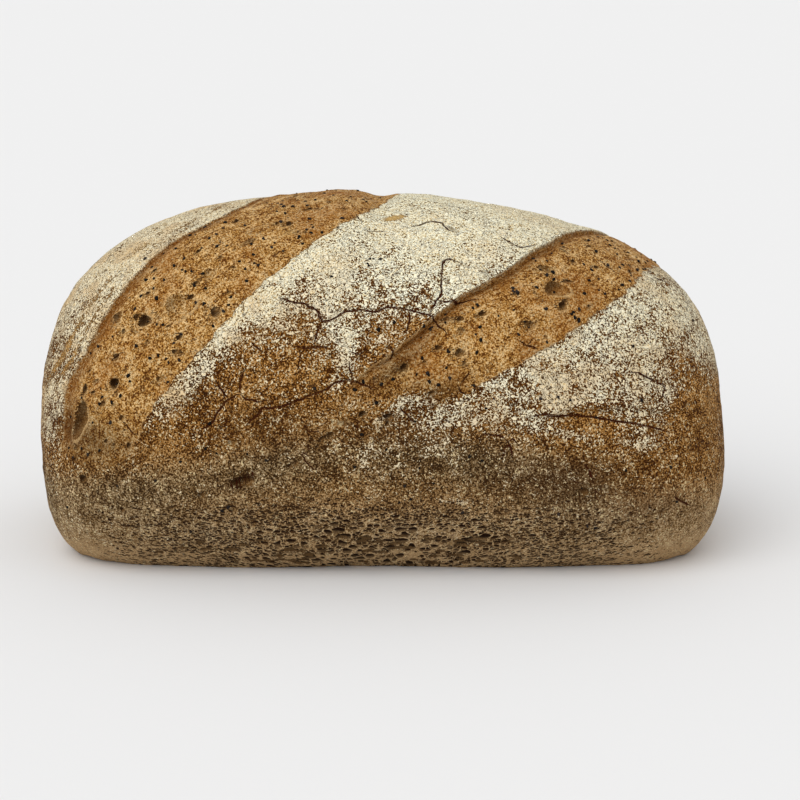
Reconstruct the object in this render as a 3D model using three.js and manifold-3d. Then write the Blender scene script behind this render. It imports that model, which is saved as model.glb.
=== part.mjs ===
// A poppy seed hearth loaf, whole and uncut, standing on its flat base.
// Millimetres, +Z up, long axis along X, origin at the middle of the base.
//
// Every point of the crust is found from two numbers: x along the loaf, and an angle round it
// (0 degrees is the front at girth height, 90 the crest, 180 the back, -90 the underside).

import * as THREE from 'three';
import { mergeVertices } from 'three/addons/utils/BufferGeometryUtils.js';
import Module from 'manifold-3d';

// ---------------------------------------------------------------- driving dimensions

const LENGTH = 230;             // end to end, before its ends swell by 2 mm each
const WIDTH = 134;              // front to back, at the girth
const CREST_HEIGHT = 118;       // underlying dome above the base, before bumps and dips
const GIRTH_HEIGHT = 50;        // height at which the loaf is widest
const UNDERSIDE_DEPTH = 60;     // how far the round underside would reach below the girth, uncut

// How square each section is: 2 is an ellipse, larger is boxier.
const DOME_SQUARENESS = 2.2;
const UNDERSIDE_SQUARENESS = 2.5;
const LEFT_END_SQUARENESS = 2.85;   // seen from the front, at the crest
const RIGHT_END_SQUARENESS = 2.07;
const GIRTH_END_SQUARENESS = 2.54;
const BASE_END_SQUARENESS = 6.5;

// Each end bulges at mid height and draws in at the foot:
// [share of length, height at the left end, height at the right end, spread].
const END_SWELLS = [[0.018, 50, 30, 24], [-0.009, 8, 8, 12]];

// The two opened scores, or blooms. Each edge is given as [angle round the loaf, x] pairs.
// The ear is the lifted upper-left lip; the foot is the edge that runs smoothly into the crust.
const LEFT_BLOOM = {
  ear: [[-90, -70], [-55, -90], [-23, -105], [-5, -102.5], [14, -102], [26, -97], [43, -88], [62, -72],
    [76, -52], [95, -39], [125, -24], [150, -5], [180, -12], [220, -45], [270, -70]],
  foot: [[-90, -25], [-55, -55], [-32, -84], [-18, -93], [-8, -81], [9, -71.5], [26, -56], [40, -41.5],
    [52, -27], [69, -9], [82, -1.5], [105, 7], [130, 14], [150, 15], [180, 8], [220, -10], [270, -25]],
  opens: [-20, 4],              // angles over which the bloom opens at its front end
  closes: [128, 156],           // and over which it closes at the back
  swell: 1.3,                   // how far the torn surface bulges past the crust
  lip: 0.6,                     // how far the crust lifts at the ear
  undercut: 0.9,                // depth of the shadowed furrow just inside the ear
};
const RIGHT_BLOOM = {
  ear: [[-90, 20], [-45, 6], [-10, -14], [4, -14], [14, -9.5], [25, 7], [37, 23.5], [46, 38.5], [60, 53],
    [70, 60], [91, 72.5], [120, 85], [150, 95], [180, 82], [225, 45], [270, 20]],
  foot: [[-90, 65], [-45, 40], [-12, 2], [2, 5.5], [10, 21.5], [19, 41], [28, 57.5], [40, 71.5], [51, 81],
    [77, 91], [104, 98.5], [130, 103], [150, 105], [180, 100], [225, 85], [270, 65]],
  opens: [4, 26],
  closes: [132, 160],
  swell: 0.8,
  lip: 1.7,
  undercut: 1.5,
};
const LIP_REACH = 12;           // width of crust that lifts towards an ear
const LIP_FADES = [45, 85, 0.55];   // angles over which a lip flattens towards the crest, and by how much
const UNDERCUT_WIDTH = 3.2;

// Humps and dips along the crest: [x, height, spread].
const CREST_BUMPS = [[-15, 0.8, 7], [-0.5, -1.7, 5], [30, -1.2, 15], [84, -0.5, 12]];
const CREST_BUMP_ANGLE = 40;    // how far they reach down each side

// Crust pits that show from a step away: [x, angle, across, high, deep].
const PITS = [
  [56, 43.5, 8.5, 6.2, 3.2], [-76, 34.6, 5, 4.2, 2.4], [-53, 34.7, 3.6, 3.4, 1.8], [-85.2, 15, 3.8, 3.8, 2.6],
  [-96, 2, 4.4, 12, 2.2], [-44.2, -13.2, 8.4, 3.4, 2], [58, 38, 3.2, 3, 1.8], [53, 50, 6, 3.2, 1],
  [32, 33.6, 2.8, 2.2, 1.2], [24.6, 22.6, 3.6, 2.8, 1.2], [7, 18.7, 2.8, 2.8, 1.6], [-6, 6, 3, 2.2, 1.4],
  [2, 5.4, 3.4, 2.2, 1.4], [-16, 0, 3, 2.8, 1.2], [-65, 37.5, 10, 9, 1.1], [-85.4, 38, 3.4, 4, 1],
  [47.3, 31, 3.6, 3, 1.2], [3.6, -8.7, 3, 2.6, 1],
];

const PORES_EACH_SIDE = 20;     // wide shallow pores of the underside's rim, front and back
const PORE_ANGLES = [-25, -40]; // the band of the front that they lie in
const SEED_COUNT = 90;
const SEED_LENGTH = 1.35;
const SEED_WIDTH = 1.05;

const RING_ANGLES = [-60, 240]; // rings are close together over this part of the girth
const RINGS = 55;
const UNDERSIDE_RINGS = 4;

// ---------------------------------------------------------------- small helpers

const radians = THREE.MathUtils.degToRad;
const lerp = THREE.MathUtils.lerp;
const smoothstep = THREE.MathUtils.smoothstep;

/** Repeatable random numbers from 0 to 1. */
function makeDice(seed) {
  let state = seed;
  return () => {
    state = (state + 0x6d2b79f5) | 0;
    let mixed = Math.imul(state ^ (state >>> 15), 1 | state);
    mixed = (mixed + Math.imul(mixed ^ (mixed >>> 7), 61 | mixed)) ^ mixed;
    return ((mixed ^ (mixed >>> 14)) >>> 0) / 4294967296;
  };
}

/** A bell curve: 1 at the middle, falling to nothing a few spreads away. */
function bell(value, middle, spread) {
  return Math.exp(-(((value - middle) / spread) ** 2));
}

/** Slope of an edge at one of its pairs: that of the line through the pairs on either side. */
function slopeAt(edge, i) {
  const [angleA, xA] = edge[Math.max(0, i - 1)];
  const [angleB, xB] = edge[Math.min(edge.length - 1, i + 1)];
  return (xB - xA) / (angleB - angleA);
}

/** x of a bloom edge at an angle round the loaf: a smooth cubic between each two pairs. */
function edgeAt(edge, angle) {
  const next = Math.max(1, edge.findIndex(([given]) => given >= angle));
  const [angleA, xA] = edge[next - 1];
  const [angleB, xB] = edge[next];
  const span = angleB - angleA;
  const t = (angle - angleA) / span;
  const straight = lerp(xA, xB, t);
  const bendA = slopeAt(edge, next - 1) * span - (xB - xA);
  const bendB = (xB - xA) - slopeAt(edge, next) * span;
  return straight + t * (1 - t) * (bendA * (1 - t) + bendB * t);
}

// ---------------------------------------------------------------- the loaf's surface

/** How square the loaf's end is at x, from its height: 1 at the crest, -1 deepest underneath. */
function endSquareness(x, height) {
  const left = 0.5 - 0.5 * Math.tanh(3 * x / (LENGTH / 2));
  const crest = lerp(RIGHT_END_SQUARENESS, LEFT_END_SQUARENESS, left);
  const upper = Math.max(height, 0) ** 1.5;
  const lower = smoothstep(-height, -0.3, 1);
  return GIRTH_END_SQUARENESS
    + (crest - GIRTH_END_SQUARENESS) * upper
    + (BASE_END_SQUARENESS - GIRTH_END_SQUARENESS) * lower;
}

/** Size of the section at x, from 1 in the middle to 0 at the ends, settled by a few rounds. */
function taperAt(x, sine) {
  const along = Math.abs(x / (LENGTH / 2));
  let taper = Math.cbrt(Math.max(0, 1 - along ** 3));
  for (let round = 0; round < 10; round += 1) {
    const squareness = endSquareness(x, sine * taper);
    taper = (taper + Math.max(0, 1 - along ** squareness) ** (1 / squareness)) / 2;
  }
  return taper;
}

/** The even underlying loaf: a superellipse section that shrinks to nothing at each end. */
function domePoint(x, angle) {
  const cosine = Math.cos(radians(angle));
  const sine = Math.sin(radians(angle));
  const above = sine >= 0;
  const squareness = above ? DOME_SQUARENESS : UNDERSIDE_SQUARENESS;
  const rise = above ? CREST_HEIGHT - GIRTH_HEIGHT : UNDERSIDE_DEPTH;
  const reach = (Math.abs(cosine / (WIDTH / 2)) ** squareness + Math.abs(sine / rise) ** squareness)
    ** (-1 / squareness);
  const taper = taperAt(x, sine);
  const height = GIRTH_HEIGHT + reach * sine * taper;
  const stretch = END_SWELLS.reduce(
    (sum, [share, left, right, spread]) => sum + share * bell(height, x < 0 ? left : right, spread), 1);
  return new THREE.Vector3(x * stretch, -reach * cosine * taper, height);
}

/** Outward direction of the underlying loaf, from its slopes along x and round the girth. */
function domeNormal(x, angle) {
  const inside = THREE.MathUtils.clamp(x, -LENGTH / 2 + 0.2, LENGTH / 2 - 0.2);
  const along = domePoint(inside + 0.1, angle).sub(domePoint(inside - 0.1, angle));
  const round = domePoint(inside, angle + 0.5).sub(domePoint(inside, angle - 0.5));
  return along.cross(round).normalize();
}

/** How far open a bloom is at an angle, from 0 to 1. */
function openness(bloom, angle) {
  return smoothstep(angle, bloom.opens[0], bloom.opens[1])
    * (1 - smoothstep(angle, bloom.closes[0], bloom.closes[1]));
}

/** Relief of one bloom: crust lifting to the ear, the furrow inside it, and the torn swell. */
function bloomRelief(bloom, x, angle) {
  const ear = edgeAt(bloom.ear, angle);
  const foot = edgeAt(bloom.foot, angle);
  const open = openness(bloom, angle);
  const fromEar = x - ear;
  if (x > foot) return 0;
  const [fadeFrom, fadeTo, fade] = LIP_FADES;
  const lip = bloom.lip * (1 - fade * smoothstep(angle, fadeFrom, fadeTo));
  if (fromEar < 0) return open * lip * smoothstep(fromEar, -LIP_REACH, 0) ** 2;
  const across = fromEar / (foot - ear);
  const swell = bloom.swell * (1 - Math.abs(2 * across - 1) ** 3);
  const furrow = bloom.undercut * bell(fromEar, 0, UNDERCUT_WIDTH);
  return open * (swell - furrow);
}

/** The hand-shaped unevenness of the whole loaf, and the humps and dips of its crest. */
function unevenness(x, angle, { y, z }) {
  const waves = 0.45 * Math.sin(x / 19 + y / 23) * Math.cos(z / 16 - x / 41)
    + 0.3 * Math.sin(x / 11 - z / 14 + y / 17 + 1.3);
  const crest = CREST_BUMPS.reduce((sum, [at, height, spread]) => sum + height * bell(x, at, spread), 0);
  return waves + crest * bell(angle, 90, CREST_BUMP_ANGLE);
}

/** A soft fold that runs along the lower right panel, its upper side overhanging a little. */
function foldRelief(x, angle) {
  const foldAngle = 6 + 1.2 * Math.sin(x / 9);
  const reach = smoothstep(x, 42, 56) * (1 - smoothstep(x, 92, 102));
  const above = angle - foldAngle;
  const overhang = above > 0 ? 0.8 * Math.exp(-above / 5) : -0.7 * Math.exp(above / 3);
  return Math.abs(above) < 25 ? reach * overhang : 0;
}

/** The crust itself: the underlying loaf, moved outwards by all its relief. */
function crustPoint(x, angle) {
  const dome = domePoint(x, angle);
  const relief = bloomRelief(LEFT_BLOOM, x, angle) + bloomRelief(RIGHT_BLOOM, x, angle)
    + unevenness(x, angle, dome) + foldRelief(x, angle);
  return dome.addScaledVector(domeNormal(x, angle), relief);
}

// ---------------------------------------------------------------- the loaf's mesh

/** x stations of one ring, closer together beside each ear and foot and towards the ends. */
function ringStations(angle) {
  const [leftEar, leftFoot] = [edgeAt(LEFT_BLOOM.ear, angle), edgeAt(LEFT_BLOOM.foot, angle)];
  const [rightEar, rightFoot] = [edgeAt(RIGHT_BLOOM.ear, angle), edgeAt(RIGHT_BLOOM.foot, angle)];
  const end = LENGTH / 2;
  const endStations = [0.13, 0.26, 0.39, 0.52, 0.65, 0.78, 0.9];
  const toEnd = (from, side) => endStations.map((t) => side * (end - (end - side * from) * t ** 2.5));
  const between = (a, b, count) => Array.from({ length: count }, (_, i) => lerp(a, b, (i + 1) / (count + 1)));
  const beside = (ear, room) => [ear - Math.min(4, room), ear - 0.6, ear + 0.9];
  return [
    ...toEnd(leftEar - 4, -1), ...beside(leftEar, 3),
    ...between(leftEar + 0.9, leftFoot - 1.2, 4), leftFoot - 1.2, leftFoot + 0.6,
    ...between(leftFoot + 0.6, rightEar - 4, 6), ...beside(rightEar, 4),
    ...between(rightEar + 0.9, rightFoot - 1.2, 3), rightFoot - 1.2, rightFoot + 0.6,
    ...toEnd(rightFoot + 0.6, 1).reverse(),
  ];
}

/** Angles of the rings: many over the crust that shows, few over the flat underside. */
function ringAngles() {
  const [first, last] = RING_ANGLES;
  const crust = Array.from({ length: RINGS }, (_, i) => lerp(first, last, i / RINGS));
  const base = Array.from({ length: UNDERSIDE_RINGS }, (_, i) => lerp(last, first + 360, i / UNDERSIDE_RINGS));
  return [...crust, ...base.map((angle) => (angle > 270 ? angle - 360 : angle))];
}

/** Closed skin of the loaf: rings of crust points, with a fan to the point at each end. */
function loafSkin() {
  const rings = ringAngles().map((angle) => ringStations(angle).map((x) => crustPoint(x, angle)));
  const columns = rings[0].length;
  const points = [...rings.flat(), domePoint(-LENGTH / 2, 0), domePoint(LENGTH / 2, 0)];
  const left = points.length - 2;
  const right = points.length - 1;
  const index = [];
  rings.forEach((ring, row) => {
    const here = row * columns;
    const next = ((row + 1) % rings.length) * columns;
    index.push(left, here, next);
    index.push(right, next + columns - 1, here + columns - 1);
    for (let i = 0; i < columns - 1; i += 1) {
      index.push(here + i, here + i + 1, next + i);
      index.push(here + i + 1, next + i + 1, next + i);
    }
  });
  const skin = new THREE.BufferGeometry().setFromPoints(points);
  skin.setIndex(index);
  return skin;
}

// ---------------------------------------------------------------- solids, cuts and joins

const wasm = await Module();
wasm.setup();
const skinMesh = new THREE.Mesh(loafSkin());

/** A closed three.js geometry as a solid. */
function toSolid(geometry) {
  const bare = geometry.clone();
  bare.deleteAttribute('normal');
  bare.deleteAttribute('uv');
  const merged = mergeVertices(bare, 1e-4);
  return new wasm.Manifold(new wasm.Mesh({
    numProp: 3,
    vertProperties: new Float32Array(merged.attributes.position.array),
    triVerts: new Uint32Array(merged.index.array),
  }));
}

/** A solid back as a three.js geometry. */
function toGeometry(solid) {
  const mesh = solid.getMesh();
  const geometry = new THREE.BufferGeometry();
  geometry.setAttribute('position', new THREE.BufferAttribute(mesh.vertProperties, mesh.numProp));
  geometry.setIndex(new THREE.BufferAttribute(mesh.triVerts, 1));
  geometry.computeVertexNormals();
  return geometry;
}

/** The point of the faceted skin that lies straight out from (x, angle). */
function pointOnSkin(x, angle) {
  const normal = domeNormal(x, angle);
  const outside = domePoint(x, angle).addScaledVector(normal, 10);
  const ray = new THREE.Raycaster(outside, normal.clone().negate());
  return ray.intersectObject(skinMesh)[0].point;
}

/** An ellipsoid on the crust: its sides lie along the loaf and round it, turned by a given angle. */
function ellipsoidOnCrust({ x, angle, across, high, deep, lift = 0, turn = 0, sides = 7 }) {
  const normal = domeNormal(x, angle);
  const along = new THREE.Vector3(1, 0, 0).addScaledVector(normal, -normal.x).normalize();
  const round = normal.clone().cross(along);
  const place = new THREE.Matrix4().makeBasis(along, round, normal);
  place.setPosition(pointOnSkin(x, angle).addScaledVector(normal, lift));
  const shape = new THREE.SphereGeometry(0.5, sides, Math.max(4, sides - 2));
  shape.rotateX(Math.PI / 2).rotateZ(turn);
  shape.scale(across, high, 2 * deep);
  return toSolid(shape.applyMatrix4(place));
}

/** The flat base: all that would lie below the surface the loaf was baked on. */
function belowBase() {
  const depth = 40;
  const slab = new THREE.BoxGeometry(LENGTH * 1.4, WIDTH * 1.6, depth);
  return toSolid(slab.translate(0, 0, -depth / 2));
}

/** Pits and burst bubbles of the crust. */
function crustPits() {
  return PITS.map(([x, angle, across, high, deep]) => ellipsoidOnCrust({
    x, angle, across, high, deep, lift: deep * 0.15, sides: 8,
  }));
}

/** Wide shallow pores where the side turns under, front and back. */
function rimPores() {
  const dice = makeDice(41);
  const pores = [];
  for (const side of ['front', 'back']) {
    for (let i = 0; i < PORES_EACH_SIDE; i += 1) {
      const x = lerp(-72, 66, (i + 0.3 + 0.4 * dice()) / PORES_EACH_SIDE);
      const low = lerp(PORE_ANGLES[0], PORE_ANGLES[1], dice());
      const angle = side === 'front' ? low : 180 - low;
      const across = lerp(3.6, 7.5, dice() ** 1.5);
      const high = across * lerp(0.45, 0.7, dice());
      pores.push(ellipsoidOnCrust({ x, angle, across, high, deep: high * 0.32, sides: 6 }));
    }
  }
  return pores;
}

/** True where a seed would stand clear of every pit. */
function clearOfPits(x, angle) {
  return PITS.every(([pitX, pitAngle, across, high]) => {
    const gapAlong = Math.abs(x - pitX) - across / 2;
    const gapRound = Math.abs(radians(angle - pitAngle)) * WIDTH / 2 - high / 2;
    return Math.max(gapAlong, gapRound) > 1.5;
  });
}

/** Poppy seeds baked half into the crust: most in the blooms, fewer on the floured panels. */
function poppySeeds() {
  const dice = makeDice(7);
  const seeds = [];
  let draws = 0;
  while (seeds.length < SEED_COUNT) {
    draws += 1;
    const angle = (draws * 137.508) % 205 - 12;
    const x = lerp(-105, 105, dice());
    const leftFoot = edgeAt(LEFT_BLOOM.foot, angle);
    const rightFoot = edgeAt(RIGHT_BLOOM.foot, angle);
    const inLeft = x > edgeAt(LEFT_BLOOM.ear, angle) + 2 && x < leftFoot - 2;
    const inRight = x > edgeAt(RIGHT_BLOOM.ear, angle) + 2 && x < rightFoot - 2;
    const chance = inLeft || inRight ? 0.9 : 0.12;
    const turn = dice() * Math.PI;
    const wanted = dice() < chance && clearOfPits(x, angle);
    if (wanted) {
      seeds.push(ellipsoidOnCrust({
        x, angle, across: SEED_LENGTH, high: SEED_WIDTH, deep: SEED_WIDTH / 2, lift: 0.1, turn, sides: 5,
      }));
    }
  }
  return seeds;
}

/** Skin cut flat at the base, then its hollows, then its seeds; any loose scrap is dropped. */
function bakedLoaf() {
  let solid = toSolid(skinMesh.geometry).subtract(belowBase());
  for (const hollow of [...crustPits(), ...rimPores()]) solid = solid.subtract(hollow);
  for (const seed of poppySeeds()) solid = solid.add(seed);
  return solid.decompose().sort((a, b) => b.volume() - a.volume())[0];
}

// ---------------------------------------------------------------- the model

function loaf() {
  const crust = new THREE.MeshStandardMaterial({ color: 0x9c6b3f, roughness: 0.85, metalness: 0 });
  const mesh = new THREE.Mesh(toGeometry(bakedLoaf()), crust);
  mesh.name = 'loaf';
  return mesh;
}

const bread = new THREE.Group();
bread.add(loaf());

export default bread;
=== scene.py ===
import math

import bpy
import numpy as np
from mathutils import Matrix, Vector


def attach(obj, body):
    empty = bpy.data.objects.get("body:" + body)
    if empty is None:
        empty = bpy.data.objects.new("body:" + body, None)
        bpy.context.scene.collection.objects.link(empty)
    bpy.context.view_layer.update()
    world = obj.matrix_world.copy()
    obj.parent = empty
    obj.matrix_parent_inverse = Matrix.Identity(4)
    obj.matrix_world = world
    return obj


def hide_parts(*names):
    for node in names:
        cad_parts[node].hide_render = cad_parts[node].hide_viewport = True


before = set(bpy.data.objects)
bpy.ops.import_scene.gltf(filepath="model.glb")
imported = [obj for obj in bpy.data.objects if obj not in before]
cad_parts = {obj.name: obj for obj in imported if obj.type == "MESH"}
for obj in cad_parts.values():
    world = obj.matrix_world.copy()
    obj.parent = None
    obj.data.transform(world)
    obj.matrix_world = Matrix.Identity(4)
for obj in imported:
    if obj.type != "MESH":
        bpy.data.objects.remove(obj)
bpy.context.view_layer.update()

# ================================================================ the loaf
# One hearth-baked loaf of wheat and rye dough, whole and uncut, with poppy seeds in the dough.
# It was floured, scored twice on the slant and baked on a flat stone: the scores tore open as it
# rose, so each bloom has a lifted ear on its upper left and runs out smoothly on its lower right.
# Sizes are millimetres. A place on the crust is x along the loaf and an angle round it in degrees:
# 0 is the front at girth height, 90 the crest, 180 the back and -90 the underside.

HALF_LENGTH = 115
HALF_WIDTH = 67
GIRTH_HEIGHT = 50
DOME_RISE = 68
UNDERSIDE_DEPTH = 60
MM_PER_DEGREE = 1.17        # round the loaf, at the girth
END_SWELLS = [(0.018, 50, 30, 24), (-0.009, 8, 8, 12)]     # share of x, height left and right, spread

LEFT_BLOOM = {
    "ear": [(-90, -70), (-55, -90), (-23, -105), (-5, -102.5), (14, -102), (26, -97), (43, -88), (62, -72),
            (76, -52), (95, -39), (125, -24), (150, -5), (180, -12), (220, -45), (270, -70)],
    "foot": [(-90, -25), (-55, -55), (-32, -84), (-18, -93), (-8, -81), (9, -71.5), (26, -56), (40, -41.5),
             (52, -27), (69, -9), (82, -1.5), (105, 7), (130, 14), (150, 15), (180, 8), (220, -10),
             (270, -25)],
    "opens": (-20, 4), "closes": (128, 156), "swell": 1.3, "lip": 0.6, "undercut": 0.9, "tear": 1.3,
}
RIGHT_BLOOM = {
    "ear": [(-90, 20), (-45, 6), (-10, -14), (4, -14), (14, -9.5), (25, 7), (37, 23.5), (46, 38.5),
            (60, 53), (70, 60), (91, 72.5), (120, 85), (150, 95), (180, 82), (225, 45), (270, 20)],
    "foot": [(-90, 65), (-45, 40), (-12, 2), (2, 5.5), (10, 21.5), (19, 41), (28, 57.5), (40, 71.5),
             (51, 81), (77, 91), (104, 98.5), (130, 103), (150, 105), (180, 100), (225, 85), (270, 65)],
    "opens": (4, 26), "closes": (132, 160), "swell": 0.8, "lip": 1.7, "undercut": 1.5, "tear": 0.8,
}
LIP_REACH = 12
UNDERCUT_WIDTH = 3.2


def ease(value, low, high):
    """0 below low and 1 above high, with the S-curve 3t^2 - 2t^3 between them."""
    t = np.clip((value - low) / (high - low), 0, 1)
    return t * t * (3 - 2 * t)


def bell(value, middle, spread):
    """exp of minus the square of the distance from the middle, in spreads: 1 there, falling to 0."""
    return np.exp(-((value - middle) / spread) ** 2)


def edge_at(pairs, angle):
    """x of a bloom's edge: a cubic between each two pairs, whose slope at a pair is that of the
    line through the pairs on either side of it."""
    angles, xs = np.array(pairs, float).T
    count = len(angles)
    before = np.maximum(np.arange(count) - 1, 0)
    after = np.minimum(np.arange(count) + 1, count - 1)
    slopes = (xs[after] - xs[before]) / (angles[after] - angles[before])
    i = np.clip(np.searchsorted(angles, angle) - 1, 0, count - 2)
    span = angles[i + 1] - angles[i]
    t = (angle - angles[i]) / span
    rise = xs[i + 1] - xs[i]
    bend = (slopes[i] * span - rise) * (1 - t) + (rise - slopes[i + 1] * span) * t
    return xs[i] + t * rise + t * (1 - t) * bend


def end_squareness(x, height):
    """How square the end is seen from above, at a height from -1 underneath to 1 at the crest."""
    left = 0.5 - 0.5 * np.tanh(3 * x / HALF_LENGTH)
    crest = 2.07 + (2.85 - 2.07) * left
    upper = np.maximum(height, 0) ** 1.5
    return 2.54 + (crest - 2.54) * upper + (6.5 - 2.54) * ease(-height, -0.3, 1)


def dome(x, angle):
    """The even loaf: a superellipse section whose size tapers to nothing at both ends as
    (1 - |x / half length|^n)^(1/n), n from end_squareness at that height, found in ten rounds."""
    cosine, sine = np.cos(np.radians(angle)), np.sin(np.radians(angle))
    along = np.abs(x / HALF_LENGTH)
    taper = np.cbrt(np.maximum(1 - along ** 3, 0))
    for _ in range(10):
        n = end_squareness(x, sine * taper)
        taper = (taper + np.maximum(1 - along ** n, 0) ** (1 / n)) / 2
    power = np.where(sine >= 0, 2.2, 2.5)
    rise = np.where(sine >= 0, DOME_RISE, UNDERSIDE_DEPTH)
    reach = (np.abs(cosine / HALF_WIDTH) ** power + np.abs(sine / rise) ** power) ** (-1 / power)
    z = GIRTH_HEIGHT + reach * sine * taper
    stretch = 1 + sum(share * bell(z, np.where(x < 0, left, right), spread)
                      for share, left, right, spread in END_SWELLS)
    return np.stack([x * stretch, -reach * cosine * taper, z], axis=-1)


def unit(vectors):
    """Each vector, divided by its own length."""
    return vectors / np.linalg.norm(vectors, axis=-1, keepdims=True)


def outward(x, angle):
    """Unit outward direction of the dome: its slope along x crossed with its slope round the girth."""
    inside = np.clip(x, -HALF_LENGTH + 0.2, HALF_LENGTH - 0.2)
    along = dome(inside + 0.1, angle) - dome(inside - 0.1, angle)
    round_ = dome(inside, angle + 0.5) - dome(inside, angle - 0.5)
    return unit(np.cross(along, round_))


def waves(points, size, seed):
    """Smooth random waves from -1 to 1, about size across: random values on a cubic lattice,
    blended between the eight nearest corners by the S-curve of ease."""
    table = np.random.default_rng(seed).uniform(-1, 1, (64, 64, 64))
    cell = np.floor(points / size).astype(int)
    part = points / size - cell
    part = part * part * (3 - 2 * part)
    total = 0
    for corner in np.ndindex(2, 2, 2):
        share = np.prod(np.where(corner, part, 1 - part), axis=-1)
        a, b, c = np.moveaxis((cell + corner) % 64, -1, 0)
        total = total + share * table[a, b, c]
    return total


def ragged(edge, angle, seed, amount):
    """The edge's x, torn unevenly: sine waves of 8 and 3.5 mm are added to it."""
    tear = 0.5 * np.sin(angle * 0.92 + seed) + 0.3 * np.sin(angle * 2.1 + 3 * seed)
    return edge_at(edge, angle) + amount * tear


def bloom_edges(bloom, angle):
    """x of the bloom's ear and of its foot at each angle."""
    ear = ragged(bloom["ear"], angle, bloom["tear"], 0.35)
    foot = ragged(bloom["foot"], angle, bloom["tear"] + 1, 0.9)
    return ear, foot


def openness(bloom, angle):
    """How far open the bloom is at an angle, from 0 to 1."""
    return ease(angle, *bloom["opens"]) * (1 - ease(angle, *bloom["closes"]))


def bloom_relief(bloom, x, angle):
    """Outward: crust lifting by ease squared to the ear; inside it the torn swell, 1 - |2t - 1|^3
    across the bloom, less the bell-shaped furrow under the ear. Both grow less towards the crest."""
    ear, foot = bloom_edges(bloom, angle)
    from_ear = x - ear
    lift = bloom["lip"] * ease(from_ear, -LIP_REACH, 0) ** 2 * (1 - 0.55 * ease(angle, 45, 85))
    across = np.clip(from_ear / (foot - ear), 0, 1)
    furrow = bloom["undercut"] * bell(from_ear, 0, UNDERCUT_WIDTH) * (1 - 0.4 * ease(angle, 45, 80))
    torn = bloom["swell"] * (1 - np.abs(2 * across - 1) ** 3) - furrow
    relief = np.where(from_ear < 0, lift, torn)
    return openness(bloom, angle) * np.where(x > foot, 0, relief)


def unevenness(x, angle, points):
    """Hand-shaped waves of the whole loaf; along the crest a low hump in the left bloom, a notch
    at its foot and a wide dip right of the middle."""
    y, z = points[..., 1], points[..., 2]
    rolling = 0.45 * np.sin(x / 19 + y / 23) * np.cos(z / 16 - x / 41) \
        + 0.3 * np.sin(x / 11 - z / 14 + y / 17 + 1.3)
    crest = 0.8 * bell(x, -15, 7) - 1.7 * bell(x, -0.5, 5) - 1.2 * bell(x, 30, 15) - 0.5 * bell(x, 84, 12)
    return rolling + crest * bell(angle, 90, 40)


def fold_relief(x, angle):
    """A soft fold along the lower right panel: its upper side hangs over, its lower side sinks."""
    above = angle - 6 - 1.2 * np.sin(x / 9)
    reach = ease(x, 42, 56) * (1 - ease(x, 92, 102)) * (np.abs(above) < 25)
    overhang = 0.8 * np.exp(-np.abs(above) / 5)
    hollow = -0.7 * np.exp(-np.abs(above) / 3)
    return reach * np.where(above > 0, overhang, hollow)


# Burst bubbles and pits of the crust: (x, angle, across, high, deep).
PITS = [
    (56, 43.5, 8.5, 6.2, 2.1), (-76, 34.6, 5, 4.2, 2.4), (-53, 34.7, 3.6, 3.4, 1.8),
    (-85.2, 15, 3.8, 3.8, 2.6), (-96, 2, 6, 13, 2.2), (-44.2, -13.2, 8.4, 3.4, 1.5),
    (58, 38, 3.2, 3, 1.8), (53, 50, 6, 3.2, 1), (32, 33.6, 2.8, 2.2, 1.2), (24.6, 22.6, 3.6, 2.8, 1.2),
    (7, 18.7, 2.8, 2.8, 1.6), (-6, 6, 3, 2.2, 1.4), (2, 5.4, 3.4, 2.2, 1.4), (-16, 0, 3, 2.8, 1.2),
    (-65, 37.5, 10, 9, 1.1), (-85.4, 38, 3.4, 4, 1), (47.3, 31, 3.6, 3, 1.2), (3.6, -8.7, 3, 2.6, 1),
    (-55.6, 47, 4.6, 3.6, 0.7), (-74, 52.5, 1.8, 1.6, 1), (-85, 24, 2.6, 2.6, 1), (-95, 13, 2, 3.6, 1),
    (-96, -17, 3, 2.8, 1.4), (-80, -4.5, 1.4, 2.2, 0.9), (-57.5, -17.5, 2.8, 2.4, 1),
    (-83.5, -23.5, 1.8, 1.8, 0.9), (-29, -8.7, 2, 2, 1), (-27, -7.8, 1.8, 1.8, 0.8),
    (-19, -1, 1.6, 1.4, 0.8), (-20, -3, 1.5, 1.4, 0.7), (1.5, 3.4, 1.4, 1.4, 0.8),
    (60.5, 47, 3.2, 1.4, 0.9), (20.5, 32, 2.2, 2, 0.8), (64, -16, 2, 3, 0.9), (90, -25.5, 2.4, 2.4, 0.8),
]
PORE_COUNT = 110            # flat bubbles of the turned-under rim, which the stone pressed wide


def rim_pores():
    """The rim's widest pores as (x, angle, across, high, deep), closest together low down and left
    of the middle, front and back."""
    dice = np.random.default_rng(41)
    low = dice.beta(1.8, 1.5, PORE_COUNT)
    angle = -29 - 19 * low
    x = np.clip(dice.normal(-6, 30, PORE_COUNT), -80, 75)
    across = 2.8 + 4.2 * dice.random(PORE_COUNT) ** 1.6 * (0.4 + 0.6 * low)
    high = across * dice.uniform(0.28, 0.42, PORE_COUNT) + 0.5
    back = dice.random(PORE_COUNT) < 0.4
    return np.stack([x, np.where(back, 180 - angle, angle), across, high, 0.3 * high + 0.2], axis=-1)


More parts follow.
